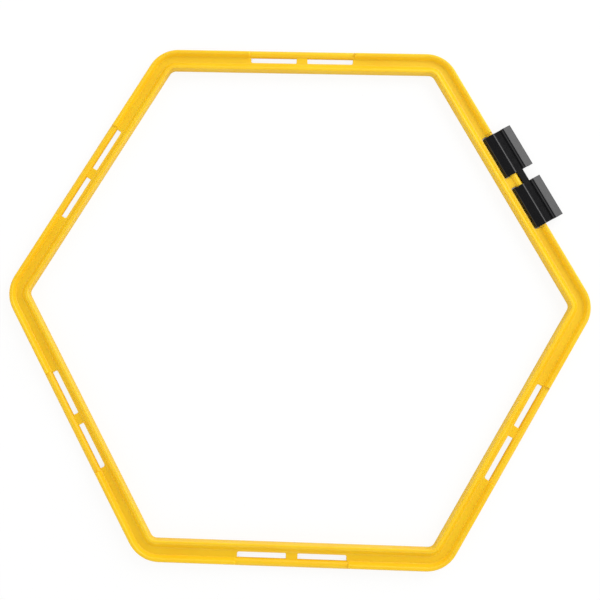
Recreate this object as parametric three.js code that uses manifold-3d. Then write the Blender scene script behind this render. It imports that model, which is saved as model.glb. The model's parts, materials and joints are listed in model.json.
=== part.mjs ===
// Agility hurdle ring: one hexagonal moulded ring that lies flat on the ground, and one sprung
// connector clip that swivels on a round bar in the middle of a side and can take a second ring.
// Millimetres, +Z up. One pair of sides runs along Y, and the clip is on the one that faces +X.
// The origin is on the ground, midway between the farthest points of the ring and clip.
import * as THREE from "three";
import { ParametricGeometry } from "three/addons/geometries/ParametricGeometry.js";
import { mergeVertices } from "three/addons/utils/BufferGeometryUtils.js";
import Module from "manifold-3d";

const wasm = await Module();
wasm.setup();

// ---- driving dimensions -------------------------------------------------------------------
// ring
const ACROSS_FLATS = 436; // between two opposite outer faces, at mid-height
const RING_HEIGHT = 11; // bead and rim, floor to top
const RAIL_WIDTH = 18.3; // outer face to inner face
const OUTER_CORNER_R = 30;
const INNER_CORNER_R = 6;
const CORNER_STEPS = 6; // facets in each rounded corner
// rail section, across its width
const WEB_THICKNESS = 3; // flat strip between the outer bead and the inner rim
const BEAD_LEAN = 1.7; // how far the outer face leans in, from mid-height to the top
const BEAD_TOP_WIDTH = 2.6;
const BEAD_FOOT = 6.5; // from the outer face to where the bead meets the web
const RIM_TOP_WIDTH = 2.3;
const RIM_FOOT_WIDTH = 5.8; // inner rim where it meets the web
const EDGE_ROUND = 0.8; // rounding along the edges of the bead and the rim
const EDGE_STEPS = 2; // facets in each such rounding
// clip seat in the middle of each side
const BAR_D = 6.4; // round bar that a clip grips, in line with the bead
const BAR_INSET = 0.1; // how far the bar lies inside the rail's outer face
const SLOT_FAR_END = 44.8; // from the side's middle
const SEAT_STEP = 1.2; // from a slot's far end to the step where the bead starts again
const BRIDGE_WIDTH = 9.6; // web left between the two slots
const SLOT_FAR_R = 1.6; // rounded far corner of a slot, on the web's side
const SLOT_NEAR_R = 0.8; // rounded corner beside the bridge
const SLOT_CORNER_STEPS = 5; // facets in each rounded corner of a slot
const BAR_STEPS = 24; // facets round the bar
// clip
const BAR_CLEARANCE = 0.3; // radial, between the bar and a jaw
const CORE_WALL = 6; // solid core between the two rows' cavities
const SPINE_WIDTH = 5.6; // solid strip that joins the jaws across the notch
const VALLEY_WIDTH = 5.8; // flat floor between the two rows of jaws
const VALLEY_TOP = 2.6; // above the bar's centre
const CREST_WALL = 1.7; // from a cavity's top up to the crest, the highest line of a jaw
const CREST_OFFSET = 4.8; // from the middle plane to the crest
const JAW_WALL = 2.8; // thickness of a jaw round the bar
const SLOT_CLEARANCE = 1.4; // between a jaw's outer wall and the web
const LIP_TOP = 3.1; // where the sloping facet meets the jaw's outer wall
const MOUTH_HALF_DEG = 50; // opening of a jaw, each side of straight down
const END_PLAY = 0.7; // between a jaw's end and a slot's far end, when centred
const CLIP_SLIDE = 0.2; // the clip lies this far along the bar from the middle
const NOTCH_CLEARANCE = 0.7; // between the bridge and the jaws on each side of it
const TIP_CORNER_LENGTH = 2.2; // rounded lower corner at each end of the jaws, along the bar
const TIP_CORNER_HEIGHT = 5; // and up from the tips
const TIP_CORNER_STEPS = 3; // facets in such a corner
const JAW_STEPS = 9; // facets in each arc of a jaw

// ---- derived sizes --------------------------------------------------------------------------
const MID_HEIGHT = RING_HEIGHT / 2; // the web and the bars lie here
const OUTER_APOTHEM = ACROSS_FLATS / 2;
const BAR_R = BAR_D / 2;
const BAR_AXIS_DEPTH = BAR_INSET + BAR_R; // from the outer face to the bar's axis
const SEAT_HALF_LENGTH = SLOT_FAR_END + SEAT_STEP; // from the side's middle
const CAVITY_R = BAR_R + BAR_CLEARANCE;
const JAW_R = CAVITY_R + JAW_WALL;
const SLOT_END = BAR_AXIS_DEPTH + JAW_R + SLOT_CLEARANCE; // from the outer face to the web
const JAW_OFFSET = CORE_WALL / 2 + CAVITY_R; // from the clip's middle plane to a jaw's axis
const CREST_TOP = CAVITY_R + CREST_WALL; // above the bar's centre
const NOTCH_LENGTH = BRIDGE_WIDTH + 2 * NOTCH_CLEARANCE; // gap between the two jaws of a row
const CLIP_HALF_WIDTH = JAW_OFFSET + JAW_R;
const CLIP_LENGTH = 2 * (SLOT_FAR_END - END_PLAY);
const CLIP_OVERHANG = JAW_OFFSET + CLIP_HALF_WIDTH - BAR_AXIS_DEPTH; // past the ring's outer face
const SIDE_COUNT = 6;
const SIDE_ANGLE = (2 * Math.PI) / SIDE_COUNT;
const HALF_SIDE_ANGLE = SIDE_ANGLE / 2;
const PAST = 1; // how far a cutter reaches past a face
const JOIN = 0.2; // how far joined shapes reach into each other
const SAME_POINT = 1e-3; // vertices nearer than this are one

// ---- materials ------------------------------------------------------------------------------
const yellowPlastic = new THREE.MeshStandardMaterial({ color: 0xf6bb12, roughness: 0.4 });
const blackPlastic = new THREE.MeshStandardMaterial({ color: 0x121213, roughness: 0.28 });

// ---- solids: three.js shapes in, three.js geometry out ----------------------------------------
function toSolid(geometry) {
  const bare = geometry.index ? geometry.toNonIndexed() : geometry.clone();
  bare.deleteAttribute("normal");
  bare.deleteAttribute("uv");
  const merged = mergeVertices(bare, SAME_POINT);
  return new wasm.Manifold(
    new wasm.Mesh({
      numProp: 3,
      vertProperties: new Float32Array(merged.attributes.position.array),
      triVerts: new Uint32Array(merged.index.array),
    }),
  );
}

function toGeometry(solid) {
  const mesh = solid.getMesh();
  const geometry = new THREE.BufferGeometry();
  geometry.setAttribute("position", new THREE.BufferAttribute(mesh.vertProperties, mesh.numProp));
  geometry.setIndex(new THREE.BufferAttribute(mesh.triVerts, 1));
  geometry.computeVertexNormals();
  return geometry;
}

function boxBetween(low, high) {
  const size = high.map((value, k) => value - low[k]);
  const middle = high.map((value, k) => (value + low[k]) / 2);
  return new THREE.BoxGeometry(...size).translate(...middle);
}

// A side's own frame: X along the side, Y inward from its outer face, Z up from mid-height.
function sideMatrix(outwardAngle) {
  const outward = new THREE.Vector3(Math.cos(outwardAngle), Math.sin(outwardAngle), 0);
  const inward = outward.clone().negate();
  const up = new THREE.Vector3(0, 0, 1);
  const along = new THREE.Vector3().crossVectors(inward, up);
  const middle = outward.clone().multiplyScalar(OUTER_APOTHEM).setZ(MID_HEIGHT);
  return new THREE.Matrix4().makeBasis(along, inward, up).setPosition(middle);
}

// ---- hexagonal ring -------------------------------------------------------------------------
// The part of the rail's section above mid-height: X inward from the outer face, Y up.
function upperSection() {
  const top = MID_HEIGHT;
  const web = WEB_THICKNESS / 2;
  const beadEnd = BEAD_LEAN + BEAD_TOP_WIDTH;
  const rimStart = RAIL_WIDTH - RIM_TOP_WIDTH;
  const upper = new THREE.Path();
  upper.moveTo(0, 0);
  upper.lineTo(BEAD_LEAN - EDGE_ROUND / 3, top - EDGE_ROUND);
  upper.quadraticCurveTo(BEAD_LEAN, top, BEAD_LEAN + EDGE_ROUND, top);
  upper.lineTo(beadEnd - EDGE_ROUND, top);
  upper.quadraticCurveTo(beadEnd, top, beadEnd + EDGE_ROUND / 2, top - EDGE_ROUND);
  upper.lineTo(BEAD_FOOT, web);
  upper.lineTo(RAIL_WIDTH - RIM_FOOT_WIDTH, web);
  upper.lineTo(rimStart - EDGE_ROUND / 2, top - EDGE_ROUND / 2);
  upper.quadraticCurveTo(rimStart, top, rimStart + EDGE_ROUND / 2, top);
  upper.lineTo(RAIL_WIDTH - EDGE_ROUND, top);
  upper.quadraticCurveTo(RAIL_WIDTH, top, RAIL_WIDTH, top - EDGE_ROUND);
  upper.lineTo(RAIL_WIDTH, 0);
  return upper.getPoints(EDGE_STEPS);
}

// The whole section: the upper half, then its mirror image back to the first point.
function railSection() {
  const upper = upperSection();
  const lower = upper.slice(0, -1).reverse();
  return [...upper, ...lower.map((p) => new THREE.Vector2(p.x, -p.y))];
}

// Where a station of the perimeter lies, for the line of the section that is `depth` inward.
// The stations turn each corner; the straight of a side joins two of them.
function perimeterPoint(station, depth) {
  const side = Math.floor(station / (CORNER_STEPS + 1)) % SIDE_COUNT;
  const step = station % (CORNER_STEPS + 1);
  const cornerR = THREE.MathUtils.lerp(OUTER_CORNER_R, INNER_CORNER_R, depth / RAIL_WIDTH);
  const reach = OUTER_APOTHEM - depth - cornerR;
  const halfStraight = reach * Math.tan(HALF_SIDE_ANGLE);
  const outward = side * SIDE_ANGLE;
  const turned = outward + (step / CORNER_STEPS) * SIDE_ANGLE;
  const centre = new THREE.Vector2(reach, halfStraight).rotateAround(new THREE.Vector2(), outward);
  return new THREE.Vector2(cornerR, 0).rotateAround(new THREE.Vector2(), turned).add(centre);
}

// The rail with no clip seats: its section carried once round the rounded hexagon.
function plainRing() {
  const section = railSection();
  const stations = SIDE_COUNT * (CORNER_STEPS + 1);
  const lines = section.length - 1;
  const surface = new ParametricGeometry(
    (round, across, target) => {
      const point = section[Math.round(across * lines)];
      const place = perimeterPoint(Math.round(round * stations) % stations, point.x);
      target.set(place.x, place.y, MID_HEIGHT + point.y);
    },
    stations,
    lines,
  );
  return toSolid(surface);
}

// Section of what a clip seat takes off the rail: the bead, but not the web inside it.
function beadCutShape() {
  const web = WEB_THICKNESS / 2;
  const clear = MID_HEIGHT + PAST;
  const shape = new THREE.Shape();
  shape.moveTo(-PAST, -clear);
  shape.lineTo(BEAD_FOOT + PAST, -clear);
  shape.lineTo(BEAD_FOOT + PAST, -web);
  shape.lineTo(BAR_AXIS_DEPTH, -web);
  shape.lineTo(BAR_AXIS_DEPTH, web);
  shape.lineTo(BEAD_FOOT + PAST, web);
  shape.lineTo(BEAD_FOOT + PAST, clear);
  shape.lineTo(-PAST, clear);
  return shape;
}

// One slot's outline, between the bar and the web. Its far corner is rounded more than the
// corner at the bridge.
function slotShape(end) {
  const near = BRIDGE_WIDTH / 2;
  const farX = SLOT_FAR_END - SLOT_FAR_R;
  const nearX = near + SLOT_NEAR_R;
  const outline = new THREE.Path();
  outline.moveTo(near, 0);
  outline.lineTo(SLOT_FAR_END, 0);
  outline.absarc(farX, SLOT_END - SLOT_FAR_R, SLOT_FAR_R, 0, Math.PI / 2, false);
  outline.absarc(nearX, SLOT_END - SLOT_NEAR_R, SLOT_NEAR_R, Math.PI / 2, Math.PI, false);
  return new THREE.Shape(outline.getPoints(SLOT_CORNER_STEPS).map((p) => new THREE.Vector2(end * p.x, p.y)));
}

// Everything that a clip seat takes away, in the side's own frame.
function seatCutters() {
  const length = 2 * SEAT_HALF_LENGTH;
  const bead = new THREE.ExtrudeGeometry(beadCutShape(), { depth: length, bevelEnabled: false });
  const stand = new THREE.Matrix4().makeBasis(
    new THREE.Vector3(0, 1, 0),
    new THREE.Vector3(0, 0, 1),
    new THREE.Vector3(1, 0, 0),
  );
  bead.translate(0, 0, -SEAT_HALF_LENGTH).applyMatrix4(stand);
  const slots = [-1, 1].map((end) => {
    const slot = new THREE.ExtrudeGeometry(slotShape(end), {
      depth: 2 * MID_HEIGHT,
      bevelEnabled: false,
    });
    return slot.translate(0, 0, -MID_HEIGHT);
  });
  return [bead, ...slots];
}

// The round bar of a clip seat, from one step of the bead to the other.
function seatBar() {
  const length = 2 * (SEAT_HALF_LENGTH + JOIN);
  return new THREE.CylinderGeometry(BAR_R, BAR_R, length, BAR_STEPS)
    .rotateZ(Math.PI / 2)
    .translate(0, BAR_AXIS_DEPTH, 0);
}

function hexRing() {
  let ring = plainRing();
  for (let side = 0; side < SIDE_COUNT; side += 1) {
    const place = sideMatrix(side * SIDE_ANGLE);
    for (const cutter of seatCutters()) {
      ring = ring.subtract(toSolid(cutter.applyMatrix4(place)));
    }
    ring = ring.add(toSolid(seatBar().applyMatrix4(place)));
  }
  return toGeometry(ring);
}

// ---- connector clip -------------------------------------------------------------------------
// The clip's section: X across the two bars it joins, Y up from the bars' centres. Each jaw is a
// C round its bar, open at the bottom, under a flat facet that slopes away from the crest.
function clipSection() {
  const mouth = THREE.MathUtils.degToRad(MOUTH_HALF_DEG);
  const outerTip = -Math.PI / 2 + mouth;
  const innerTip = -Math.PI / 2 - mouth;
  const valleyHalf = VALLEY_WIDTH / 2;
  const half = new THREE.Path();
  half.moveTo(0, VALLEY_TOP);
  half.lineTo(valleyHalf, VALLEY_TOP);
  half.quadraticCurveTo((valleyHalf + CREST_OFFSET) / 2, CREST_TOP, CREST_OFFSET, CREST_TOP);
  half.lineTo(CLIP_HALF_WIDTH, LIP_TOP);
  half.absarc(JAW_OFFSET, 0, JAW_R, 0, outerTip, true);
  half.absarc(JAW_OFFSET, 0, CAVITY_R, outerTip, innerTip + 2 * Math.PI, false);
  const base = JAW_R * Math.sin(innerTip);
  half.lineTo(JAW_OFFSET + JAW_R * Math.cos(innerTip), base);
  half.lineTo(0, base);
  const points = half.getPoints(JAW_STEPS);
  const mirrored = points.slice(1, -1).reverse();
  return new THREE.Shape([...points, ...mirrored.map((p) => new THREE.Vector2(-p.x, p.y))]);
}

// What rounds one lower corner of the clip, seen from the side: a rectangle less a quarter of an
// ellipse.
function tipCornerOutline(end) {
  const base = -JAW_R * Math.cos(THREE.MathUtils.degToRad(MOUTH_HALF_DEG));
  const tall = base + TIP_CORNER_HEIGHT;
  const tip = CLIP_LENGTH / 2;
  const start = tip - TIP_CORNER_LENGTH;
  const down = 1.5 * Math.PI;
  const curve = new THREE.Path();
  curve.absellipse(start, tall, TIP_CORNER_LENGTH, TIP_CORNER_HEIGHT, down, 2 * Math.PI);
  curve.lineTo(tip + PAST, tall);
  curve.lineTo(tip + PAST, base - PAST);
  curve.lineTo(start, base - PAST);
  return new THREE.Shape(curve.getPoints(TIP_CORNER_STEPS).map((p) => new THREE.Vector2(end * p.x, p.y)));
}

function connectorClip() {
  const strip = new THREE.ExtrudeGeometry(clipSection(), {
    depth: CLIP_LENGTH,
    bevelEnabled: false,
  }).translate(0, 0, -CLIP_LENGTH / 2);
  let clip = toSolid(strip);
  const reach = CLIP_HALF_WIDTH + PAST;
  for (const side of [-1, 1]) {
    const [near, far] = [(side * SPINE_WIDTH) / 2, side * reach].sort((a, b) => a - b);
    const notch = boxBetween(
      [near, -RING_HEIGHT, -NOTCH_LENGTH / 2],
      [far, RING_HEIGHT, NOTCH_LENGTH / 2],
    );
    const corner = new THREE.ExtrudeGeometry(tipCornerOutline(side), {
      depth: 2 * reach,
      bevelEnabled: false,
    });
    corner.translate(0, 0, -reach).rotateY(Math.PI / 2);
    clip = clip.subtract(toSolid(notch)).subtract(toSolid(corner));
  }
  return toGeometry(clip);
}

// ---- assembly -------------------------------------------------------------------------------
const hurdle = new THREE.Group();
hurdle.position.x = -CLIP_OVERHANG / 2;

const ring = new THREE.Mesh(hexRing(), yellowPlastic);
ring.name = "hex_ring";
hurdle.add(ring);

// This group stands on the bar's axis: X points outward, Y up and Z along the bar.
const clipSeat = new THREE.Group();
clipSeat.rotation.x = Math.PI / 2;
clipSeat.position.set(OUTER_APOTHEM - BAR_AXIS_DEPTH, 0, MID_HEIGHT);
hurdle.add(clipSeat);

const clip = new THREE.Mesh(connectorClip(), blackPlastic);
clip.name = "connector_clip";
clip.position.set(JAW_OFFSET, 0, CLIP_SLIDE); // the inner row of jaws holds the bar
clipSeat.add(clip);

export default hurdle;
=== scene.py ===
"""Agility hurdle ring with its connector clip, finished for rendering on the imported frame.

The ring is one hexagonal moulding: an outer bead, a thin web and an inner rim, with a clip seat in
the middle of each side. A seat is a round bar in line with the bead and two slots in the web. The
clip is a black strip with two rows of jaws, and its inner row grips the bar of one seat.

Pieces are modelled in millimetres and made metres as they are finished.
"""

import json
import logging
import math
from collections.abc import Sequence
from dataclasses import dataclass, field
from enum import Enum
from itertools import pairwise

import bmesh
import bpy
from bmesh.types import BMEdge, BMesh, BMFace, BMVert
from mathutils import Euler, Matrix, Vector


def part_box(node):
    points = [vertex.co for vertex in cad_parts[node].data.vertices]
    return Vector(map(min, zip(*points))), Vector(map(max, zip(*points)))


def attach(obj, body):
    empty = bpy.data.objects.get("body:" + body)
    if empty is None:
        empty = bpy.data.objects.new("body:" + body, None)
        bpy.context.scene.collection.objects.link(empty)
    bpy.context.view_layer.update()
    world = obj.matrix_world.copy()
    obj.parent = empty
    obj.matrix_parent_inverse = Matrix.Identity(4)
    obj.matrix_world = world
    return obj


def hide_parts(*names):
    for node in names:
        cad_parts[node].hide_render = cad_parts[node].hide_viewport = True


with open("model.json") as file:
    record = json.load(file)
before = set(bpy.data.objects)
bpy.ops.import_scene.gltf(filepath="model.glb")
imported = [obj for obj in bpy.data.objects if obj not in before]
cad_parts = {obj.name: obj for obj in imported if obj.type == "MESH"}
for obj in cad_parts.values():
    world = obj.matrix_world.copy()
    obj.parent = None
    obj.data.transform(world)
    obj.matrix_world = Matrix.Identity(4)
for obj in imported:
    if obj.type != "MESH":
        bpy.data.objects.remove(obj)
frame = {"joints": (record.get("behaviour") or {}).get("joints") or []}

LOG = logging.getLogger("agility_hurdle")
MM = 0.001
SAME_POINT = 0.002  # millimetres: nearer points than this are one
CUT_TOLERANCE = SAME_POINT / 10
WEAR_FROM = 0.25  # mean curvature, per millimetre, at which an edge begins to rub
WEAR_FULL = 0.9
SIDES = 6
CORNER_ANGLE = 60  # degrees that the rail turns at a corner

VECTOR = "NodeSocketVector"
COLOR = "NodeSocketColor"
NUMBER = "NodeSocketFloat"

# A Mix node's colour sockets share their names with its other kinds, so they go by number.
MIX_FIRST = 6
MIX_SECOND = 7
MIX_RESULT = 2

Point = tuple[float, float]
Color = tuple[float, float, float]


class Node(Enum):
    """The CAD nodes that the finished pieces stand for."""

    RING = "hex_ring"
    CLIP = "connector_clip"


class Body(Enum):
    """The CAD bodies that the pieces move with."""

    RING = "ring"
    CLIP = "clip"


class Slot(Enum):
    """The record's material slots."""

    YELLOW = "yellow_plastic"
    BLACK = "black_plastic"


# ---- outlines and pieces ----


@dataclass(frozen=True)
class Corner:
    """One corner of an outline, and how it is rounded.

    reach is how far the rounding runs along the two edges, and steps how many facets it has.
    """

    across: float
    up: float
    reach: float = 0.0
    steps: int = 0

    def mirrored(self) -> "Corner":
        """The same corner below the middle line."""
        return Corner(self.across, -self.up, self.reach, self.steps)

    @property
    def count(self) -> int:
        """How many points the corner becomes."""
        return self.steps + 1


def rounded(corners: Sequence[Corner]) -> list[Point]:
    """Rounds the corners of a closed outline with vertex bevels.

    Args:
        corners: The outline in order. The first corner isn't rounded, and stays the first point.

    Returns:
        The outline's points as (across, up), in the same order.
    """
    flat = bmesh.new()
    verts = [flat.verts.new((corner.across, 0.0, corner.up)) for corner in corners]
    flat.faces.new(verts)
    for reach, steps in sorted({(c.reach, c.steps) for c in corners if c.steps}):
        chosen = [v for v, c in zip(verts, corners) if (c.reach, c.steps) == (reach, steps)]
        bmesh.ops.bevel(
            flat, geom=chosen, offset=reach, offset_type="OFFSET", segments=steps,
            profile=0.5, affect="VERTICES", material=-1,
        )
    flat.faces.ensure_lookup_table()
    points = [(loop.vert.co.x, loop.vert.co.z) for loop in flat.faces[0].loops]
    flat.free()
    return points


def arc(centre: Point, radius: float, start: float, end: float, steps: int) -> list[Point]:
    """Points on an arc.

    Args:
        centre: The arc's centre, as (across, up).
        radius: The arc's radius.
        start: The first angle, in degrees, counted from across towards up.
        end: The last angle, in degrees.
        steps: The number of facets.

    Returns:
        The arc's points, both ends included.
    """
    angles = [math.radians(start + (end - start) * k / steps) for k in range(steps + 1)]
    return [(centre[0] + radius * math.cos(a), centre[1] + radius * math.sin(a)) for a in angles]


def all_of(shell: BMesh) -> list[BMVert | BMEdge | BMFace]:
    """All the geometry of a mesh, as the operators take it."""
    return [*shell.verts, *shell.edges, *shell.faces]


def mark_edges(shell: BMesh) -> None:
    """Writes how worn each point may be, from how tightly the surface curves outwards there.

    An edge's bend counts half for the mean curvature, and half of that goes to each of its ends.

    Args:
        shell: The closed mesh, in millimetres.
    """
    layer = shell.verts.layers.float.new("edge")
    for vert in shell.verts:
        area = sum(face.calc_area() / len(face.verts) for face in vert.link_faces)
        bend = sum(
            edge.calc_face_angle_signed(0.0) * edge.calc_length() / 4 for edge in vert.link_edges
        )
        curvature = bend / max(area, SAME_POINT)
        vert[layer] = min(1.0, max(0.0, (curvature - WEAR_FROM) / (WEAR_FULL - WEAR_FROM)))


def finished_piece(name: str, shell: BMesh, crease: float) -> bpy.types.Object:
    """Makes a closed mesh in millimetres a piece in metres, at the origin.

    Args:
        name: The piece's name.
        shell: The mesh, which is freed.
        crease: The angle in degrees past which an edge is shaded sharp.

    Returns:
        The new object.
    """
    bmesh.ops.recalc_face_normals(shell, faces=shell.faces)
    mark_edges(shell)
    bmesh.ops.scale(shell, vec=(MM, MM, MM), verts=shell.verts)
    mesh = bpy.data.meshes.new(name)
    shell.to_mesh(mesh)
    shell.free()
    mesh.shade_smooth()
    mesh.set_sharp_from_angle(angle=math.radians(crease))
    piece = bpy.data.objects.new(name, mesh)
    bpy.context.scene.collection.objects.link(piece)
    even = piece.modifiers.new("even_shading", "WEIGHTED_NORMAL")
    even.keep_sharp = True
    return piece


def hand_over(piece: bpy.types.Object, node: Node, body: Body) -> None:
    """Puts a finished piece in the place of its CAD node and reports it.

    Args:
        piece: The finished piece.
        node: The CAD node that it stands for.
        body: The body that it moves with.
    """
    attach(piece, body.value)
    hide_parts(node.value)
    LOG.info("%s: %d faces, rides on %s", piece.name, len(piece.data.polygons), body.value)


# ---- finishes ----


class Tree:
    """A node tree under construction, with short ways to add and join nodes."""

    def __init__(self, tree: bpy.types.NodeTree) -> None:
        """Holds the tree that the nodes go into."""
        self.tree = tree

    def add(self, kind: str, settings: dict | None = None, **sockets: object) -> bpy.types.Node:
        """Adds a node.

        Args:
            kind: The node's type name.
            settings: The node's own properties.
            **sockets: Input sockets by name, with _ for a space. A socket is joined, a value set.

        Returns:
            The new node.
        """
        node = self.tree.nodes.new(kind)
        for key, value in (settings or {}).items():
            setattr(node, key, value)
        for key, value in sockets.items():
            self.feed(node.inputs[key.replace("_", " ")], value)
        return node

    def feed(self, socket: bpy.types.NodeSocket, value: object) -> None:
        """Joins a socket to another one, or sets its value.

        Args:
            socket: The input socket.
            value: The output socket to join it to, or the value to set.
        """
        if isinstance(value, bpy.types.NodeSocket):
            self.tree.links.new(value, socket)
        else:
            socket.default_value = value

    def maths(self, operation: str, *values: object) -> bpy.types.NodeSocket:
        """Adds a Math node.

        Args:
            operation: What the node does.
            *values: Its inputs in order, sockets or numbers.

        Returns:
            The node's result.
        """
        node = self.tree.nodes.new("ShaderNodeMath")
        node.operation = operation
        for socket, value in zip(node.inputs, values):
            self.feed(socket, value)
        return node.outputs[0]

    def between(self, value: object, low: float, high: float, to_low: float = 0.0,
                to_high: float = 1.0) -> bpy.types.NodeSocket:
        """Maps a range of values smoothly onto another.

        Args:
            value: The value or socket to map.
            low: Where the range starts.
            high: Where the range ends.
            to_low: What the start becomes.
            to_high: What the end becomes.

        Returns:
            The mapped value.
        """
        node = self.add("ShaderNodeMapRange", {"interpolation_type": "SMOOTHSTEP"})
        ends = (value, low, high, to_low, to_high)
        for socket, end in zip(node.inputs, ends):
            self.feed(socket, end)
        return node.outputs[0]

    def blend(self, share: object, first: object, second: object) -> bpy.types.NodeSocket:
        """Mixes two colours.

        Args:
            share: How much of the second colour there is.
            first: The first colour or socket.
            second: The second colour or socket.

        Returns:
            The mixed colour.
        """
        node = self.add("ShaderNodeMix", {"data_type": "RGBA"})
        self.feed(node.inputs["Factor"], share)
        self.feed(node.inputs[MIX_FIRST], first)
        self.feed(node.inputs[MIX_SECOND], second)
        return node.outputs[MIX_RESULT]


def new_material(name: str) -> tuple[bpy.types.Material, Tree]:
    """Starts a material with an empty node tree.

    Args:
        name: The material's name.

    Returns:
        The material and its tree.
    """
    made = bpy.data.materials.new(name)
    made.use_nodes = True
    made.node_tree.nodes.clear()
    return made, Tree(made.node_tree)


def grey(level: float) -> tuple[float, float, float, float]:
    """An opaque grey."""
    return level, level, level, 1.0


def make_group(
    name: str, inputs: dict[str, str], outputs: dict[str, str]
) -> tuple[Tree, dict[str, bpy.types.NodeSocket], bpy.types.Node]:
    """Starts a shader node group.

    Args:
        name: The group's name.
        inputs: Socket type by input name.
        outputs: Socket type by output name.

    Returns:
        The tree, its input sockets by name, and the node that takes its outputs.
    """
    group = bpy.data.node_groups.new(name, "ShaderNodeTree")
    for socket, kind in inputs.items():
        group.interface.new_socket(socket, in_out="INPUT", socket_type=kind)
    for socket, kind in outputs.items():
        group.interface.new_socket(socket, in_out="OUTPUT", socket_type=kind)
    tree = Tree(group)
    given = tree.add("NodeGroupInput").outputs
    return tree, {socket: given[socket] for socket in inputs}, tree.add("NodeGroupOutput")


@dataclass
class SurfaceEffects:
    """The effects that the mouldings share, each a node group that is built once.

    The pairs are the noise levels between which an effect rises.
    """

    cloud_rise: Point = (0.35, 0.7)
    coarse_scale: float = 0.08  # the coarse grain's scale, as a share of the fine grain's
    coarse_share: float = 0.6
    fine_share: float = 0.4
    gloss_rise: Point = (0.3, 0.7)
    patch_rise: Point = (0.42, 0.68)
    flow: bpy.types.NodeTree = field(init=False)
    grain: bpy.types.NodeTree = field(init=False)
    rub: bpy.types.NodeTree = field(init=False)

    def __post_init__(self) -> None:
        """Builds the groups."""
        self.flow = self._flow()
        self.grain = self._grain()
        self.rub = self._rub()

    def _flow(self) -> bpy.types.NodeTree:
        """Soft clouds of a deeper shade, as the melt leaves them.

        Returns:
            The group, which puts out the colour.
        """
        tree, given, result = make_group(
            "melt_flow",
            {"Vector": VECTOR, "Color": COLOR, "Deep Color": COLOR, "Scale": NUMBER,
             "Amount": NUMBER},
            {"Color": COLOR},
        )
        clouds = tree.add("ShaderNodeTexNoise", Vector=given["Vector"], Scale=given["Scale"],
                          Detail=3.0, Roughness=0.55)
        risen = tree.between(clouds.outputs[0], *self.cloud_rise)
        share = tree.maths("MULTIPLY", risen, given["Amount"])
        tree.feed(result.inputs["Color"], tree.blend(share, given["Color"], given["Deep Color"]))
        return tree.tree

    def _grain(self) -> bpy.types.NodeTree:
        """Fine moulding grain, as a height and as an unevenness of gloss.

        Returns:
            The group, which puts out the height and the unevenness, from -1 to 1.
        """
        tree, given, result = make_group(
            "moulding_grain",
            {"Vector": VECTOR, "Scale": NUMBER},
            {"Height": NUMBER, "Unevenness": NUMBER},
        )
        fine = tree.add("ShaderNodeTexNoise", Vector=given["Vector"], Scale=given["Scale"],
                        Detail=4.0, Roughness=0.6)
        coarse_scale = tree.maths("MULTIPLY", given["Scale"], self.coarse_scale)
        coarse = tree.add("ShaderNodeTexNoise", Vector=given["Vector"], Scale=coarse_scale,
                          Detail=2.0)
        height = tree.maths("ADD", tree.maths("MULTIPLY", fine.outputs[0], self.fine_share),
                            tree.maths("MULTIPLY", coarse.outputs[0], self.coarse_share))
        uneven = tree.between(coarse.outputs[0], *self.gloss_rise, -1, 1)
        tree.feed(result.inputs["Height"], height)
        tree.feed(result.inputs["Unevenness"], uneven)
        return tree.tree

    def _rub(self) -> bpy.types.NodeTree:
        """Where handling has rubbed the outer edges, as a broken mask.

        Returns:
            The group, which puts out the mask.
        """
        tree, given, result = make_group(
            "edge_rub",
            {"Vector": VECTOR, "Edge": NUMBER, "Scale": NUMBER, "Amount": NUMBER},
            {"Mask": NUMBER},
        )
        patches = tree.add("ShaderNodeTexNoise", Vector=given["Vector"], Scale=given["Scale"],
                           Detail=5.0, Roughness=0.65)
        broken = tree.between(patches.outputs[0], *self.patch_rise)
        rubbed = tree.maths("MULTIPLY", given["Edge"], broken)
        mask = tree.maths("MULTIPLY", rubbed, given["Amount"])
        tree.feed(result.inputs["Mask"], mask)
        return tree.tree


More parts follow.
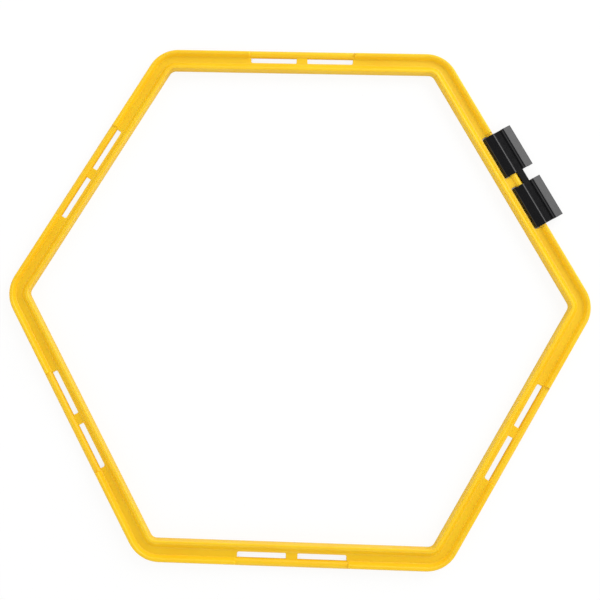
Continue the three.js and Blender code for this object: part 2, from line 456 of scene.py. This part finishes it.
@dataclass(frozen=True)
class MouldedPlastic:
    """The finish of one injection moulding. Colours are linear, lengths are metres."""

    name: str
    color: Color
    deep_color: Color
    rubbed_color: Color
    roughness: float
    roughness_swing: float
    rub_roughness: float
    rub_amount: float
    flow_amount: float
    grain_depth: float
    draw_depth: float  # height of the fine lines along the moulding
    specular: float
    glow_share: float = 0.0  # how much light passes just under the surface
    glow_radius: Color = (1.0, 0.45, 0.1)
    glow_scale: float = 0.004
    flow_scale: float = 22.0
    rub_scale: float = 160.0
    grain_scale: float = 2600.0
    draw_stretch: Point = (9.0, 1500.0)  # scale of the lines along and across the moulding

    def material(self, effects: SurfaceEffects) -> bpy.types.Material:
        """Builds the material.

        Args:
            effects: The shared node groups.

        Returns:
            The material, which reads Object coordinates, the piece's UV map and its edge mark.
        """
        made, tree = new_material(self.name)
        place = tree.add("ShaderNodeTexCoord").outputs
        edge = tree.add("ShaderNodeAttribute", {"attribute_name": "edge"}).outputs["Fac"]

        flow = tree.add("ShaderNodeGroup", {"node_tree": effects.flow}, Vector=place["Object"],
                        Color=(*self.color, 1), Deep_Color=(*self.deep_color, 1),
                        Scale=self.flow_scale, Amount=self.flow_amount)
        rub = tree.add("ShaderNodeGroup", {"node_tree": effects.rub}, Vector=place["Object"],
                       Edge=edge, Scale=self.rub_scale, Amount=self.rub_amount).outputs["Mask"]
        color = tree.blend(rub, flow.outputs["Color"], (*self.rubbed_color, 1))

        grain = tree.add("ShaderNodeGroup", {"node_tree": effects.grain},
                         Vector=place["Object"], Scale=self.grain_scale)
        uneven = tree.maths("MULTIPLY_ADD", grain.outputs["Unevenness"], self.roughness_swing,
                            self.roughness)
        roughness = tree.maths("MULTIPLY_ADD", rub, self.rub_roughness, uneven)

        run = tree.add("ShaderNodeMapping", Vector=place["UV"], Scale=(*self.draw_stretch, 1))
        lines = tree.add("ShaderNodeTexNoise", Vector=run.outputs[0], Scale=1.0, Detail=3.0)
        drawn = tree.add("ShaderNodeBump", Strength=1.0, Distance=self.draw_depth,
                         Height=lines.outputs[0])
        bump = tree.add("ShaderNodeBump", Strength=1.0, Distance=self.grain_depth,
                        Height=grain.outputs["Height"], Normal=drawn.outputs[0])

        shader = tree.add("ShaderNodeBsdfPrincipled", Base_Color=color, Roughness=roughness,
                          Normal=bump.outputs[0], Specular_IOR_Level=self.specular,
                          Subsurface_Weight=self.glow_share, Subsurface_Radius=self.glow_radius,
                          Subsurface_Scale=self.glow_scale)
        tree.add("ShaderNodeOutputMaterial", Surface=shader.outputs[0])
        return made


YELLOW_FINISH = MouldedPlastic(
    name="yellow_polypropylene",
    color=(0.91, 0.575, 0.010),
    deep_color=(0.90, 0.51, 0.006),
    rubbed_color=(0.92, 0.66, 0.07),
    roughness=0.40,
    roughness_swing=0.03,
    rub_roughness=0.12,
    rub_amount=0.35,
    flow_amount=0.5,
    specular=0.4,
    glow_share=0.1,
    grain_depth=0.000003,
    draw_depth=0.000012,
)

BLACK_FINISH = MouldedPlastic(
    name="black_nylon",
    color=(0.008, 0.008, 0.009),
    deep_color=(0.006, 0.006, 0.007),
    rubbed_color=(0.045, 0.044, 0.046),
    roughness=0.23,
    roughness_swing=0.02,
    specular=0.42,
    rub_roughness=0.12,
    rub_amount=0.4,
    flow_amount=0.6,
    grain_depth=0.000003,
    draw_depth=0.000008,
)


# ---- ring ----


@dataclass(frozen=True)
class Station:
    """Where one cross-section of the rail stands along half a side.

    along is the distance from the side's middle. seat is 0 on the plain rail and 1 on the clip
    seat. turn is None on the straight, and the share of the half corner turned in a corner. rows
    holds the (along, depth) of the web's points from the bar to the slot's edge.
    """

    along: float
    seat: float = 0.0
    turn: float | None = None
    rows: tuple[Point, ...] = ()

    def moved(self, along: float) -> "Station":
        """The same cross-section elsewhere on the straight, with its rows in one plane."""
        return Station(along, self.seat, rows=tuple((along, row[1]) for row in self.rows))


@dataclass
class HexRing:
    """The hexagonal ring: one sixth is modelled and repeated round the middle. Millimetres."""

    rail_width: float = 18.3
    outer_corner_radius: float = 30.0
    inner_corner_radius: float = 6.0
    half_corner_steps: int = 9
    web_thickness: float = 3.0
    bead_lean: float = 1.7
    bead_top_width: float = 2.6
    bead_foot: float = 6.5
    rim_top_width: float = 2.3
    rim_foot_width: float = 5.8
    bead_round: float = 0.95
    rim_round: float = 0.85
    bead_foot_round: float = 0.55
    bead_foot_clear: float = 1.5  # where the web's rows begin, in bead foot roundings
    rim_foot_round: float = 1.1
    round_steps: int = 4
    rim_foot_steps: int = 5
    parting_round: float = 0.35
    bar_diameter: float = 6.4
    bar_inset: float = 0.1
    slot_end: float = 11.0
    slot_far_end: float = 44.8
    seat_step: float = 1.2
    web_end_gap: float = 0.12  # from the end of the bar's seat to the last row beside it
    bridge_width: float = 9.6
    slot_far_radius: float = 1.6
    slot_near_radius: float = 0.8
    slot_edge_round: float = 0.35
    slot_edge_steps: int = 2
    slot_corner_angles: tuple[int, ...] = (0, 15, 30)  # degrees round from the long edge
    slot_rows_to: int = 45  # degrees round a slot's corner at which its end wall's rows stop
    slot_straight_steps: int = 4
    web_rows: int = 4
    wall_cuts: int = 3
    bead_end_curve: tuple[Point, ...] = (  # distance past the seat, and what is left of the bar
        (0.0, 0.5), (0.08, 0.24), (0.24, 0.09), (0.5, 0.02), (0.85, 0.0),
    )
    plain_stations: Point = (12.0, 32.0)  # distances past the seat
    crease: float = 38.0
    finish: MouldedPlastic = YELLOW_FINISH
    centre: Vector = field(init=False)
    apothem: float = field(init=False)
    half_height: float = field(init=False)
    half_web: float = field(init=False)
    bar_radius: float = field(init=False)
    bar_depth: float = field(init=False)
    bar_meets_web: float = field(init=False)

    def __post_init__(self) -> None:
        """Takes the overall size and place from the frame."""
        low, high = (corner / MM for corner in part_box(Node.RING.value))
        self.centre = (low + high) / 2
        self.apothem = (high.x - low.x) / 2
        self.half_height = (high.z - low.z) / 2
        self.half_web = self.web_thickness / 2
        self.bar_radius = self.bar_diameter / 2
        self.bar_depth = self.bar_inset + self.bar_radius
        self.bar_meets_web = self.bar_depth + math.sqrt(self.bar_radius**2 - self.half_web**2)

    # outlines

    def outline(self) -> tuple[list[Point], list[int]]:
        """The plain rail's outline, from the middle of the inner face, over the top and back.

        Returns:
            The points as (depth, up), and the index of each web row on the top, slot's edge first.
        """
        top, web = self.half_height, self.half_web
        web_start = self.bead_foot + self.bead_foot_clear * self.bead_foot_round
        gap = (self.slot_end - web_start) / self.web_rows
        rows = [Corner(web_start + gap * k, web) for k in range(self.web_rows, -1, -1)]
        steps = self.round_steps
        before_rows = [
            Corner(self.rail_width, 0),
            Corner(self.rail_width, top, self.rim_round, steps),
            Corner(self.rail_width - self.rim_top_width, top, self.rim_round, steps),
            Corner(self.rail_width - self.rim_foot_width, web, self.rim_foot_round,
                   self.rim_foot_steps),
        ]
        after_rows = [
            Corner(self.bead_foot, web, self.bead_foot_round, steps),
            Corner(self.bead_lean + self.bead_top_width, top, self.bead_round, steps),
            Corner(self.bead_lean, top, self.bead_round, steps),
        ]
        upper = [*before_rows, *rows, *after_rows]
        lower = [corner.mirrored() for corner in reversed(upper[1:])]
        points = rounded([*upper, Corner(0, 0, self.parting_round, steps), *lower])
        first = sum(corner.count for corner in before_rows)
        return points, list(range(first, first + self.web_rows + 1))

    def seat_outline(self, rail: list[Point], first: int) -> list[Point]:
        """The outline on a clip seat, where the round bar takes the bead's place.

        Args:
            rail: The plain rail's outline.
            first: The index where the bar meets the top of the web.

        Returns:
            As many points as the rail's, each where that point of the rail goes.
        """
        last = len(rail) - first
        start = math.degrees(math.asin(self.half_web / self.bar_radius))
        bar = arc((self.bar_depth, 0), self.bar_radius, start, 360 - start, last - first)
        return [*rail[:first], *bar, *rail[last + 1 :]]

    # stations along half a side

    def slot_corner(self, end: float, radius: float, outward: int, angle: float) -> Point:
        """A point on a rounded corner of the slot, on the web's side.

        Args:
            end: Where the slot ends, from the side's middle.
            radius: The corner's radius.
            outward: 1 at the slot's far end and -1 at its near end.
            angle: Degrees from the slot's long edge, 0, to its end wall, 90.

        Returns:
            The point as (along, depth).
        """
        turned = math.radians(angle)
        along = end - outward * radius * (1 - math.sin(turned))
        return along, self.slot_end - radius * (1 - math.cos(turned))

    def end_rows(self, end: float, radius: float, outward: int) -> tuple[Point, ...]:
        """The web's rows down a slot's end wall, from the bar to the middle of the corner.

        Args:
            end: Where the slot ends, from the side's middle.
            radius: The corner's radius.
            outward: 1 at the slot's far end and -1 at its near end.

        Returns:
            The rows as (along, depth).
        """
        step = self.slot_rows_to / (self.web_rows - 1)
        corner = [
            self.slot_corner(end, radius, outward, 90 - step * k) for k in range(self.web_rows)
        ]
        return ((end, self.bar_meets_web), *corner)

    def slot_end_stations(self, end: float, radius: float, outward: int) -> list[Station]:
        """The stations at one end of a slot.

        Args:
            end: Where the slot ends, from the side's middle.
            radius: The corner's radius.
            outward: 1 at the slot's far end and -1 at its near end.

        Returns:
            The end wall's station and those round the corner, in order from the side's middle.
        """
        wall = Station(end, 1.0, rows=self.end_rows(end, radius, outward))
        made = []
        for angle in self.slot_corner_angles:
            spot = self.slot_corner(end, radius, outward, angle)
            made.append(Station(spot[0], 1.0, rows=(*wall.moved(spot[0]).rows[:-1], spot)))
        made.append(wall)
        return made if outward > 0 else made[::-1]

    def slot_stations(self) -> list[Station]:
        """The stations from one end of a slot to the other.

        Returns:
            The stations, from the slot's near wall to its far wall.
        """
        near = self.slot_end_stations(self.bridge_width / 2, self.slot_near_radius, -1)
        far = self.slot_end_stations(self.slot_far_end, self.slot_far_radius, 1)
        first, last = near[-1], far[0]
        steps = self.slot_straight_steps
        middle = [
            first.moved(first.along + (last.along - first.along) * k / steps)
            for k in range(1, steps)
        ]
        return [*near, *middle, *far]

    def stations(self) -> tuple[list[Station], int, int]:
        """All stations from a side's middle to the middle of its corner.

        Returns:
            The stations, and the indices of the slot's near and far walls.
        """
        slot = self.slot_stations()
        seat_end = self.slot_far_end + self.seat_step
        bridge = [slot[0].moved(along) for along in (0.0, slot[0].along / 2)]
        web_end = slot[-1].moved(seat_end - self.web_end_gap)
        bead_end = [Station(seat_end + past, share) for past, share in self.bead_end_curve]
        plain = [Station(seat_end + past) for past in self.plain_stations]
        turned = range(self.half_corner_steps + 1)
        corner = [Station(0.0, turn=k / self.half_corner_steps) for k in turned]
        made = [*bridge, *slot, web_end, *bead_end, *plain, *corner]
        return made, len(bridge), len(bridge) + len(slot) - 1

    def corner_point(self, depth: float, turn: float) -> Point:
        """A point in the corner at the end of a side.

        Args:
            depth: How far inward from the outer face.
            turn: The share of the half corner turned.

        Returns:
            The point as (out from the middle, along).
        """
        spread = self.outer_corner_radius - self.inner_corner_radius
        radius = self.outer_corner_radius - spread * depth / self.rail_width
        reach = self.apothem - depth - radius
        half_corner = math.radians(CORNER_ANGLE / 2)
        angle = turn * half_corner
        straight = reach * math.tan(half_corner)
        return reach + radius * math.cos(angle), straight + radius * math.sin(angle)

    def place(self, station: Station, rail: Point, seat: Point, row: int | None,
              upper: bool) -> Vector:
        """Where one point of a cross-section goes.

        Args:
            station: The cross-section.
            rail: The point on the plain rail's outline.
            seat: The same point on the seat's outline.
            row: Its row on the web, counted from the bar, or None.
            upper: Whether it lies on the upper half.

        Returns:
            The place, with the ring's middle at the origin.
        """
        if row is not None and station.rows:
            along, depth = station.rows[row]
            return Vector((self.apothem - depth, along, self.half_web if upper else -self.half_web))
        depth = rail[0] + (seat[0] - rail[0]) * station.seat
        up = rail[1] + (seat[1] - rail[1]) * station.seat
        if station.turn is not None:
            return Vector((*self.corner_point(depth, station.turn), up))
        return Vector((self.apothem - depth, station.along, up))

    # mesh

    def half_side(self) -> BMesh:
        """Half a side, from its middle to the middle of its corner, with its slot.

        Returns:
            The mesh, open at both ends.
        """
        rail, top_rows = self.outline()
        seat = self.seat_outline(rail, top_rows[-1])
        points = len(rail)
        rows = {k: self.web_rows - index for index, k in enumerate(top_rows)}
        rows.update({points - k: row for k, row in rows.items()})
        stations, near, far = self.stations()

        shell = bmesh.new()
        bmesh.ops.create_grid(shell, x_segments=points, y_segments=len(stations) - 1, size=1)
        shell.verts.ensure_lookup_table()
        lengths = [0.0]
        for first, second in pairwise([*rail, rail[0]]):
            lengths.append(lengths[-1] + math.dist(first, second))
        map_at: dict[int, Point] = {}
        for vert in shell.verts:
            step, column = divmod(vert.index, points + 1)
            k = column % points
            vert.co = self.place(stations[step], rail[k], seat[k], rows.get(k), k < points / 2)
            map_at[vert.index] = (vert.co.y * MM, lengths[column] * MM)
        layer = shell.loops.layers.uv.new("rail_run")
        for face in shell.faces:
            for loop in face.loops:
                loop[layer].uv = map_at[loop.vert.index]

        holes = []
        for face in shell.faces:
            spots = [divmod(vert.index, points + 1) for vert in face.verts]
            in_slot = all(near <= step <= far for step, _ in spots)
            if in_slot and all(column % points in rows for _, column in spots):
                holes.append(face)
        bmesh.ops.delete(shell, geom=holes, context="FACES")
        bmesh.ops.remove_doubles(shell, verts=shell.verts, dist=SAME_POINT)
        self.wall_slot(shell)
        return shell

    def wall_slot(self, shell: BMesh) -> None:
        """Joins the upper and lower openings of the slot and rounds the edges in the web.

        Args:
            shell: Half a side with the openings cut.
        """
        mouth = [
            edge for edge in shell.edges
            if edge.is_boundary
            and all(abs(abs(vert.co.z) - self.half_web) < SAME_POINT for vert in edge.verts)
            and any(vert.co.y > SAME_POINT for vert in edge.verts)
            and all(vert.co.y < self.slot_far_end + SAME_POINT for vert in edge.verts)
        ]
        at_bar = self.apothem - self.bar_meets_web
        keen = [
            edge for edge in mouth
            if any(abs(vert.co.x - at_bar) > SAME_POINT for vert in edge.verts)
        ]
        walls = bmesh.ops.bridge_loops(shell, edges=mouth)
        upright = {
            edge for face in walls["faces"] for edge in face.edges
            if abs(edge.verts[0].co.z - edge.verts[1].co.z) > self.half_web
        }
        cut = bmesh.ops.subdivide_edges(
            shell, edges=list(upright), cuts=self.wall_cuts, use_grid_fill=True
        )
        for vert in cut["geom_inner"]:
            if isinstance(vert, BMVert) and abs(vert.co.x - at_bar) < SAME_POINT:
                bulge = math.sqrt(self.bar_radius**2 - vert.co.z**2)
                vert.co.x = self.apothem - self.bar_depth - bulge
        bmesh.ops.bevel(
            shell, geom=keen, offset=self.slot_edge_round, offset_type="OFFSET",
            segments=self.slot_edge_steps, profile=0.5, affect="EDGES", material=-1,
        )

    def whole_ring(self) -> BMesh:
        """The whole ring: the half side mirrored, and the side repeated round the middle.

        Returns:
            The closed mesh, in its place.
        """
        shell = self.half_side()
        bmesh.ops.mirror(
            shell, geom=all_of(shell), matrix=Matrix.Identity(4), merge_dist=SAME_POINT, axis="Y",
        )
        bmesh.ops.spin(
            shell, geom=all_of(shell), cent=(0, 0, 0), axis=(0, 0, 1),
            angle=math.radians(CORNER_ANGLE * (SIDES - 1)), steps=SIDES - 1, use_duplicate=True,
        )
        bmesh.ops.remove_doubles(shell, verts=shell.verts, dist=SAME_POINT)
        self.run_map_round(shell)
        bmesh.ops.translate(shell, vec=self.centre, verts=shell.verts)
        return shell

    def run_map_round(self, shell: BMesh) -> None:
        """Carries the map's length on from side to side, so that no pattern repeats.

        Args:
            shell: The whole ring, with its middle at the origin.
        """
        layer = shell.loops.layers.uv["rail_run"]
        corner = math.radians(CORNER_ANGLE)
        side_length = 2 * self.apothem * math.tan(corner / 2) * MM
        for face in shell.faces:
            middle = face.calc_center_median()
            side = round(math.atan2(middle.y, middle.x) / corner)
            along = Matrix.Rotation(-corner * side, 3, "Z") @ middle
            sign = 1 if along.y > 0 else -1
            for loop in face.loops:
                loop[layer].uv.x = sign * loop[layer].uv.x + (side % SIDES) * side_length

    def build(self, effects: SurfaceEffects) -> bpy.types.Object:
        """Builds and dresses the ring.

        Args:
            effects: The shared node groups.

        Returns:
            The finished ring.
        """
        piece = finished_piece("hexagon_ring", self.whole_ring(), self.crease)
        piece.data.materials.append(self.finish.material(effects))
        hand_over(piece, Node.RING, Body.RING)
        return piece


# ---- clip ----


@dataclass
class ConnectorClip:
    """The clip: a quarter is modelled and mirrored both ways. Millimetres.

    Across runs from the clip's middle plane to a row of jaws, up from the bars' centres, and
    along the bars.
    """

    spine_width: float = 5.6
    valley_width: float = 5.8
    valley_top: float = 2.6
    jaw_offset: float = 6.5
    jaw_radius: float = 6.3
    cavity_radius: float = 3.5
    lip_top: float = 3.1
    crest_corner: float = 3.46  # where the facet and the valley's side would meet
    facet_slope: float = 14.7
    crest_round: float = 2.35
    crest_steps: int = 12
    lip_round: float = 1.0
    lip_steps: int = 4
    skirt: float = 3.7  # how far the outer wall runs straight down below the bars' centres
    skirt_round: float = 0.5
    mouth_half_angle: float = 50.0
    notch_length: float = 11.0
    tip_length: float = 2.2
    tip_height: float = 5.0
    tip_steps: int = 7
    cavity_steps: int = 26
    edge_round: float = 0.25
    edge_steps: int = 2
    bevel_from: float = 35.0
    flat_within: float = 1.0  # degrees: faces that turn less than this are one
    crease: float = 38.0
    finish: MouldedPlastic = BLACK_FINISH
    centre: Vector = field(init=False)
    half_width: float = field(init=False)
    length: float = field(init=False)

    def __post_init__(self) -> None:
        """Takes the length and place from the frame."""
        low, high = (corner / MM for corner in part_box(Node.CLIP.value))
        axis = Vector(frame["joints"][0]["pos_m"]) / MM
        self.centre = Vector(((low.x + high.x) / 2, (low.y + high.y) / 2, axis.z))
        self.half_width = (high.x - low.x) / 2
        self.length = high.y - low.y

    def sections(self) -> tuple[list[Point], list[Point]]:
        """The right half of the clip's section, as two outlines that share an upright edge.

        Returns:
            The spine's outline and the jaw's, both as (across, up).
        """
        outer_tip = self.mouth_half_angle - 90
        inner_tip = 270 - self.mouth_half_angle
        axis = (self.jaw_offset, 0.0)
        outer_base = arc(axis, self.jaw_radius, outer_tip, outer_tip, 1)[0]
        cavity = arc(axis, self.cavity_radius, outer_tip, inner_tip, self.cavity_steps)
        inner_base = arc(axis, self.jaw_radius, inner_tip, inner_tip, 1)[0]
        side = self.spine_width / 2
        tip = cavity[-1]
        share = (tip[0] - side) / (tip[0] - inner_base[0])
        split = (side, tip[1] + (inner_base[1] - tip[1]) * share)
        facet_run = self.half_width - self.crest_corner
        crest_up = self.lip_top + math.tan(math.radians(self.facet_slope)) * facet_run
        jaw = [
            Corner(side, self.valley_top),
            Corner(self.valley_width / 2, self.valley_top),
            Corner(self.crest_corner, crest_up, self.crest_round, self.crest_steps),
            Corner(self.half_width, self.lip_top, self.lip_round, self.lip_steps),
            Corner(self.half_width, -self.skirt, self.skirt_round, self.lip_steps),
            Corner(*outer_base),
            *(Corner(*point) for point in cavity),
            Corner(*split),
        ]
        spine = [(0, self.valley_top), (side, self.valley_top), split, inner_base,
                 (0, inner_base[1])]
        return spine, rounded(jaw)

    def quarter(self) -> BMesh:
        """A quarter of the clip.

        Returns:
            The mesh, open where it meets its mirror images.
        """
        spine, jaw = self.sections()
        shell = bmesh.new()
        core = shell.faces.new([shell.verts.new((x, 0, z)) for x, z in spine])
        notch = self.notch_length / 2
        core = self.pull(shell, [core], notch)[0]
        corners = list(core.verts)
        ring = []
        for x, z in jaw:
            spot = Vector((x, notch, z))
            near = [vert for vert in corners if (vert.co - spot).length < SAME_POINT]
            ring.append(near[0] if near else shell.verts.new(spot))
        lip = shell.faces.new(ring)
        self.pull(shell, [core, lip], self.length / 2 - notch)
        at_middle = [
            face for face in shell.faces
            if all(abs(vert.co.x) < SAME_POINT for vert in face.verts)
            or all(abs(vert.co.y) < SAME_POINT for vert in face.verts)
        ]
        inside = [
            face for face in shell.faces
            if all(abs(vert.co.y - notch) < SAME_POINT for vert in face.verts)
            and any(abs(vert.co.x) < SAME_POINT for vert in face.verts)
        ]
        bmesh.ops.delete(shell, geom=[*at_middle, *inside], context="FACES")
        return shell

    @staticmethod
    def pull(shell: BMesh, faces: list[BMFace], distance: float) -> list[BMFace]:
        """Extrudes flat faces along the bar and keeps the faces they came from.

        Args:
            shell: The mesh.
            faces: The faces, which share a plane.
            distance: How far they are pulled.

        Returns:
            The faces at the far end, in the order given.
        """
        middles = [face.calc_center_median() + Vector((0, distance, 0)) for face in faces]
        made = bmesh.ops.extrude_face_region(shell, geom=faces, use_keep_orig=True)["geom"]
        verts = [item for item in made if isinstance(item, BMVert)]
        bmesh.ops.translate(shell, vec=(0, distance, 0), verts=verts)
        caps = [item for item in made if isinstance(item, BMFace)]
        return [min(caps, key=lambda c: (c.calc_center_median() - m).length) for m in middles]

    def round_tips(self, shell: BMesh) -> None:
        """Rounds the lower end corners of the jaws, seen from the side, with flat cuts.

        Args:
            shell: The half of the clip with positive along.
        """
        _, jaw = self.sections()
        base = min(up for _, up in jaw)
        middle = (self.length / 2 - self.tip_length, base + self.tip_height)
        angles = [math.radians(90 * k / self.tip_steps) for k in range(self.tip_steps + 1)]
        curve = [
            Vector((0, middle[0] + self.tip_length * math.sin(a),
                    middle[1] - self.tip_height * math.cos(a)))
            for a in angles
        ]
        for first, second in pairwise(curve):
            chord = second - first
            outward = Vector((0, chord.z, -chord.y)).normalized()
            cut = bmesh.ops.bisect_plane(
                shell, geom=all_of(shell), dist=CUT_TOLERANCE, plane_co=first,
                plane_no=outward, clear_outer=True,
            )
            rim = [item for item in cut["geom_cut"] if isinstance(item, BMEdge)]
            bmesh.ops.holes_fill(shell, edges=[e for e in rim if e.is_boundary], sides=0)

    def soften(self, shell: BMesh) -> None:
        """Rounds the sharp outer edges.

        Args:
            shell: The clip.
        """
        sharp = [
            edge for edge in shell.edges
            if edge.is_manifold and edge.calc_face_angle_signed(0) > math.radians(self.bevel_from)
        ]
        bmesh.ops.bevel(
            shell, geom=sharp, offset=self.edge_round, offset_type="OFFSET",
            segments=self.edge_steps, profile=0.5, affect="EDGES", material=-1,
        )

    def whole_clip(self) -> BMesh:
        """The whole clip, with its edges rounded.

        Returns:
            The closed mesh, in its place.
        """
        shell = self.quarter()
        for axis in "XY":
            if axis == "Y":
                self.round_tips(shell)
            bmesh.ops.mirror(
                shell, geom=all_of(shell), matrix=Matrix.Identity(4), merge_dist=SAME_POINT,
                axis=axis,
            )
            bmesh.ops.recalc_face_normals(shell, faces=shell.faces)
            bmesh.ops.dissolve_limit(
                shell, angle_limit=math.radians(self.flat_within), verts=shell.verts,
                edges=shell.edges,
            )
        self.soften(shell)
        self.map_along(shell)
        bmesh.ops.translate(shell, vec=self.centre, verts=shell.verts)
        return shell

    @staticmethod
    def map_along(shell: BMesh) -> None:
        """Maps the clip by length along the bars and by the way round its section.

        Args:
            shell: The clip, with its middle at the origin.
        """
        layer = shell.loops.layers.uv.new("clip_run")
        for face in shell.faces:
            for loop in face.loops:
                spot = loop.vert.co
                loop[layer].uv = (spot.y * MM, (spot.x + spot.z) * MM)

    def build(self, effects: SurfaceEffects) -> bpy.types.Object:
        """Builds and dresses the clip.

        Args:
            effects: The shared node groups.

        Returns:
            The finished clip.
        """
        piece = finished_piece("twin_jaw_clip", self.whole_clip(), self.crease)
        piece.data.materials.append(self.finish.material(effects))
        hand_over(piece, Node.CLIP, Body.CLIP)
        return piece


# ---- studio ----


@dataclass(frozen=True)
class SoftBox:
    """A square soft light that points at the object. Metres, degrees and watts."""

    name: str
    azimuth: float  # from +X towards +Y
    elevation: float
    distance: float
    size: float
    power: float

    def build(self) -> bpy.types.Object:
        """Builds the lamp.

        Returns:
            The lamp's object.
        """
        lamp = bpy.data.lights.new(self.name, "AREA")
        lamp.size = self.size
        lamp.energy = self.power
        turn = Euler((0, math.radians(90 - self.elevation), math.radians(self.azimuth)))
        away = turn.to_matrix() @ Vector((0, 0, 1))
        holder = bpy.data.objects.new(self.name, lamp)
        holder.location = away * self.distance
        holder.rotation_euler = away.to_track_quat("Z", "Y").to_euler()
        holder.visible_camera = False
        bpy.context.scene.collection.objects.link(holder)
        return holder


@dataclass
class Studio:
    """The floor, the light and the camera. Metres."""

    floor_size: float = 12.0
    floor_color: float = 0.80
    floor_share: float = 0.12  # what the camera sees of the floor's own light and shadow
    floor_lift: float = 0.88  # what is added to it there, so that the open floor is white
    sky_reach: float = 0.020  # how far the floor looks up for cover
    sky_edge: Point = (0.03, 0.10)  # open shares at which the lift starts and is full; below them the floor takes a painted shadow
    sky_samples: int = 16
    floor_drop: float = 0.0001  # keeps the floor clear of the faces that rest on it
    contact_reach: float = 0.010  # light this close below the object comes through the floor
    contact_tint: float = 0.45  # the share of it that does
    wall_level: float = 1.14
    ceiling_level: float = 0.08
    ceiling_edge: Point = (0.80, 0.92)  # rise of a ray from the wall to the ceiling
    lens: float = 48.0
    shift: Point = (0.0633, -0.125)
    nearest: float = 0.01
    camera_place: tuple[float, float, float] = (-0.0291, -0.0125, 0.6897)
    camera_turn: tuple[float, float, float] = (7.08, 1.44, -28.48)
    lights: tuple[SoftBox, ...] = (
        SoftBox("key_softbox", azimuth=13, elevation=35, distance=2.0, size=1.3, power=17.5),
    )

    def build(self) -> None:
        """Builds the studio."""
        self.camera()
        self.floor()
        self.room()
        for light in self.lights:
            light.build()
        bpy.context.scene.view_settings.view_transform = "Standard"

    def camera(self) -> None:
        """Stands the camera over the ring."""
        data = bpy.data.cameras.new("camera")
        data.lens = self.lens
        data.shift_x, data.shift_y = self.shift
        data.clip_start = self.nearest
        holder = bpy.data.objects.new("camera", data)
        holder.location = self.camera_place
        holder.rotation_euler = [math.radians(angle) for angle in self.camera_turn]
        bpy.context.scene.collection.objects.link(holder)
        bpy.context.scene.camera = holder

    def floor(self) -> None:
        """Lays the floor, which is seen from above only."""
        sheet = bmesh.new()
        bmesh.ops.create_grid(sheet, x_segments=1, y_segments=1, size=self.floor_size / 2)
        mesh = bpy.data.meshes.new("floor")
        sheet.to_mesh(mesh)
        sheet.free()
        floor = bpy.data.objects.new("floor", mesh)
        floor.location.z = -self.floor_drop
        bpy.context.scene.collection.objects.link(floor)
        mesh.materials.append(self.floor_material())

    def floor_material(self) -> bpy.types.Material:
        """Paints the floor.

        The camera sees it lifted to white, except where it is almost covered, which leaves a
        painted shadow there. It sees through its underside. Light that reaches it from close by
        goes through, dimmed.

        Returns:
            The floor's material.
        """
        made, tree = new_material("pale_floor")
        paths = tree.add("ShaderNodeLightPath").outputs
        seen = paths["Is Camera Ray"]
        shade = tree.blend(seen, grey(self.floor_color), grey(self.floor_share))
        paint = tree.add("ShaderNodeBsdfDiffuse", Color=shade)
        # Ambient occlusion takes the lift away where the floor is almost covered: a painted shadow.
        open_sky = tree.add("ShaderNodeAmbientOcclusion", {"samples": self.sky_samples},
                            Distance=self.sky_reach).outputs["AO"]
        lift_with_painted_shadow = tree.between(open_sky, *self.sky_edge, 0.0, self.floor_lift)
        strength = tree.maths("MULTIPLY", seen, lift_with_painted_shadow)
        lift = tree.add("ShaderNodeEmission", Strength=strength)
        lit = tree.add("ShaderNodeAddShader")
        tree.feed(lit.inputs[0], paint.outputs[0])
        tree.feed(lit.inputs[1], lift.outputs[0])
        back = tree.add("ShaderNodeNewGeometry").outputs["Backfacing"]
        from_below = tree.maths("MULTIPLY", back, seen)
        near = tree.maths("LESS_THAN", paths["Ray Length"], self.contact_reach)
        in_contact = tree.maths("SUBTRACT", near, paths["Is Glossy Ray"])
        open_to = tree.maths("MAXIMUM", from_below, in_contact)
        tint = tree.blend(seen, grey(self.contact_tint), grey(1.0))
        clear = tree.add("ShaderNodeBsdfTransparent", Color=tint)
        both = tree.add("ShaderNodeMixShader", Fac=open_to)
        tree.feed(both.inputs[1], lit.outputs[0])
        tree.feed(both.inputs[2], clear.outputs[0])
        tree.add("ShaderNodeOutputMaterial", Surface=both.outputs[0])
        return made

    def room(self) -> None:
        """Makes a white room with a dark ceiling, which the camera sees as white all over."""
        world = bpy.data.worlds.new("room")
        world.use_nodes = True
        world.node_tree.nodes.clear()
        tree = Tree(world.node_tree)
        rise = tree.add("ShaderNodeSeparateXYZ", Vector=tree.add("ShaderNodeTexCoord").outputs[0])
        level = tree.between(
            rise.outputs["Z"], *self.ceiling_edge, self.wall_level, self.ceiling_level
        )
        paths = tree.add("ShaderNodeLightPath").outputs
        seen = tree.maths("MAXIMUM", paths["Is Camera Ray"], paths["Is Transmission Ray"])
        shown = tree.maths("MAXIMUM", seen, level)
        glow = tree.add("ShaderNodeBackground", Color=grey(1.0), Strength=shown)
        tree.add("ShaderNodeOutputWorld", Surface=glow.outputs[0])
        bpy.context.scene.world = world


def main() -> None:
    """Builds the studio and the pieces in order."""
    logging.basicConfig(level=logging.INFO, format="%(name)s: %(message)s")
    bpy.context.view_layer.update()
    Studio().build()
    effects = SurfaceEffects()
    for assembly in (HexRing(), ConnectorClip()):
        assembly.build(effects)


if __name__ == "__main__":
    main()
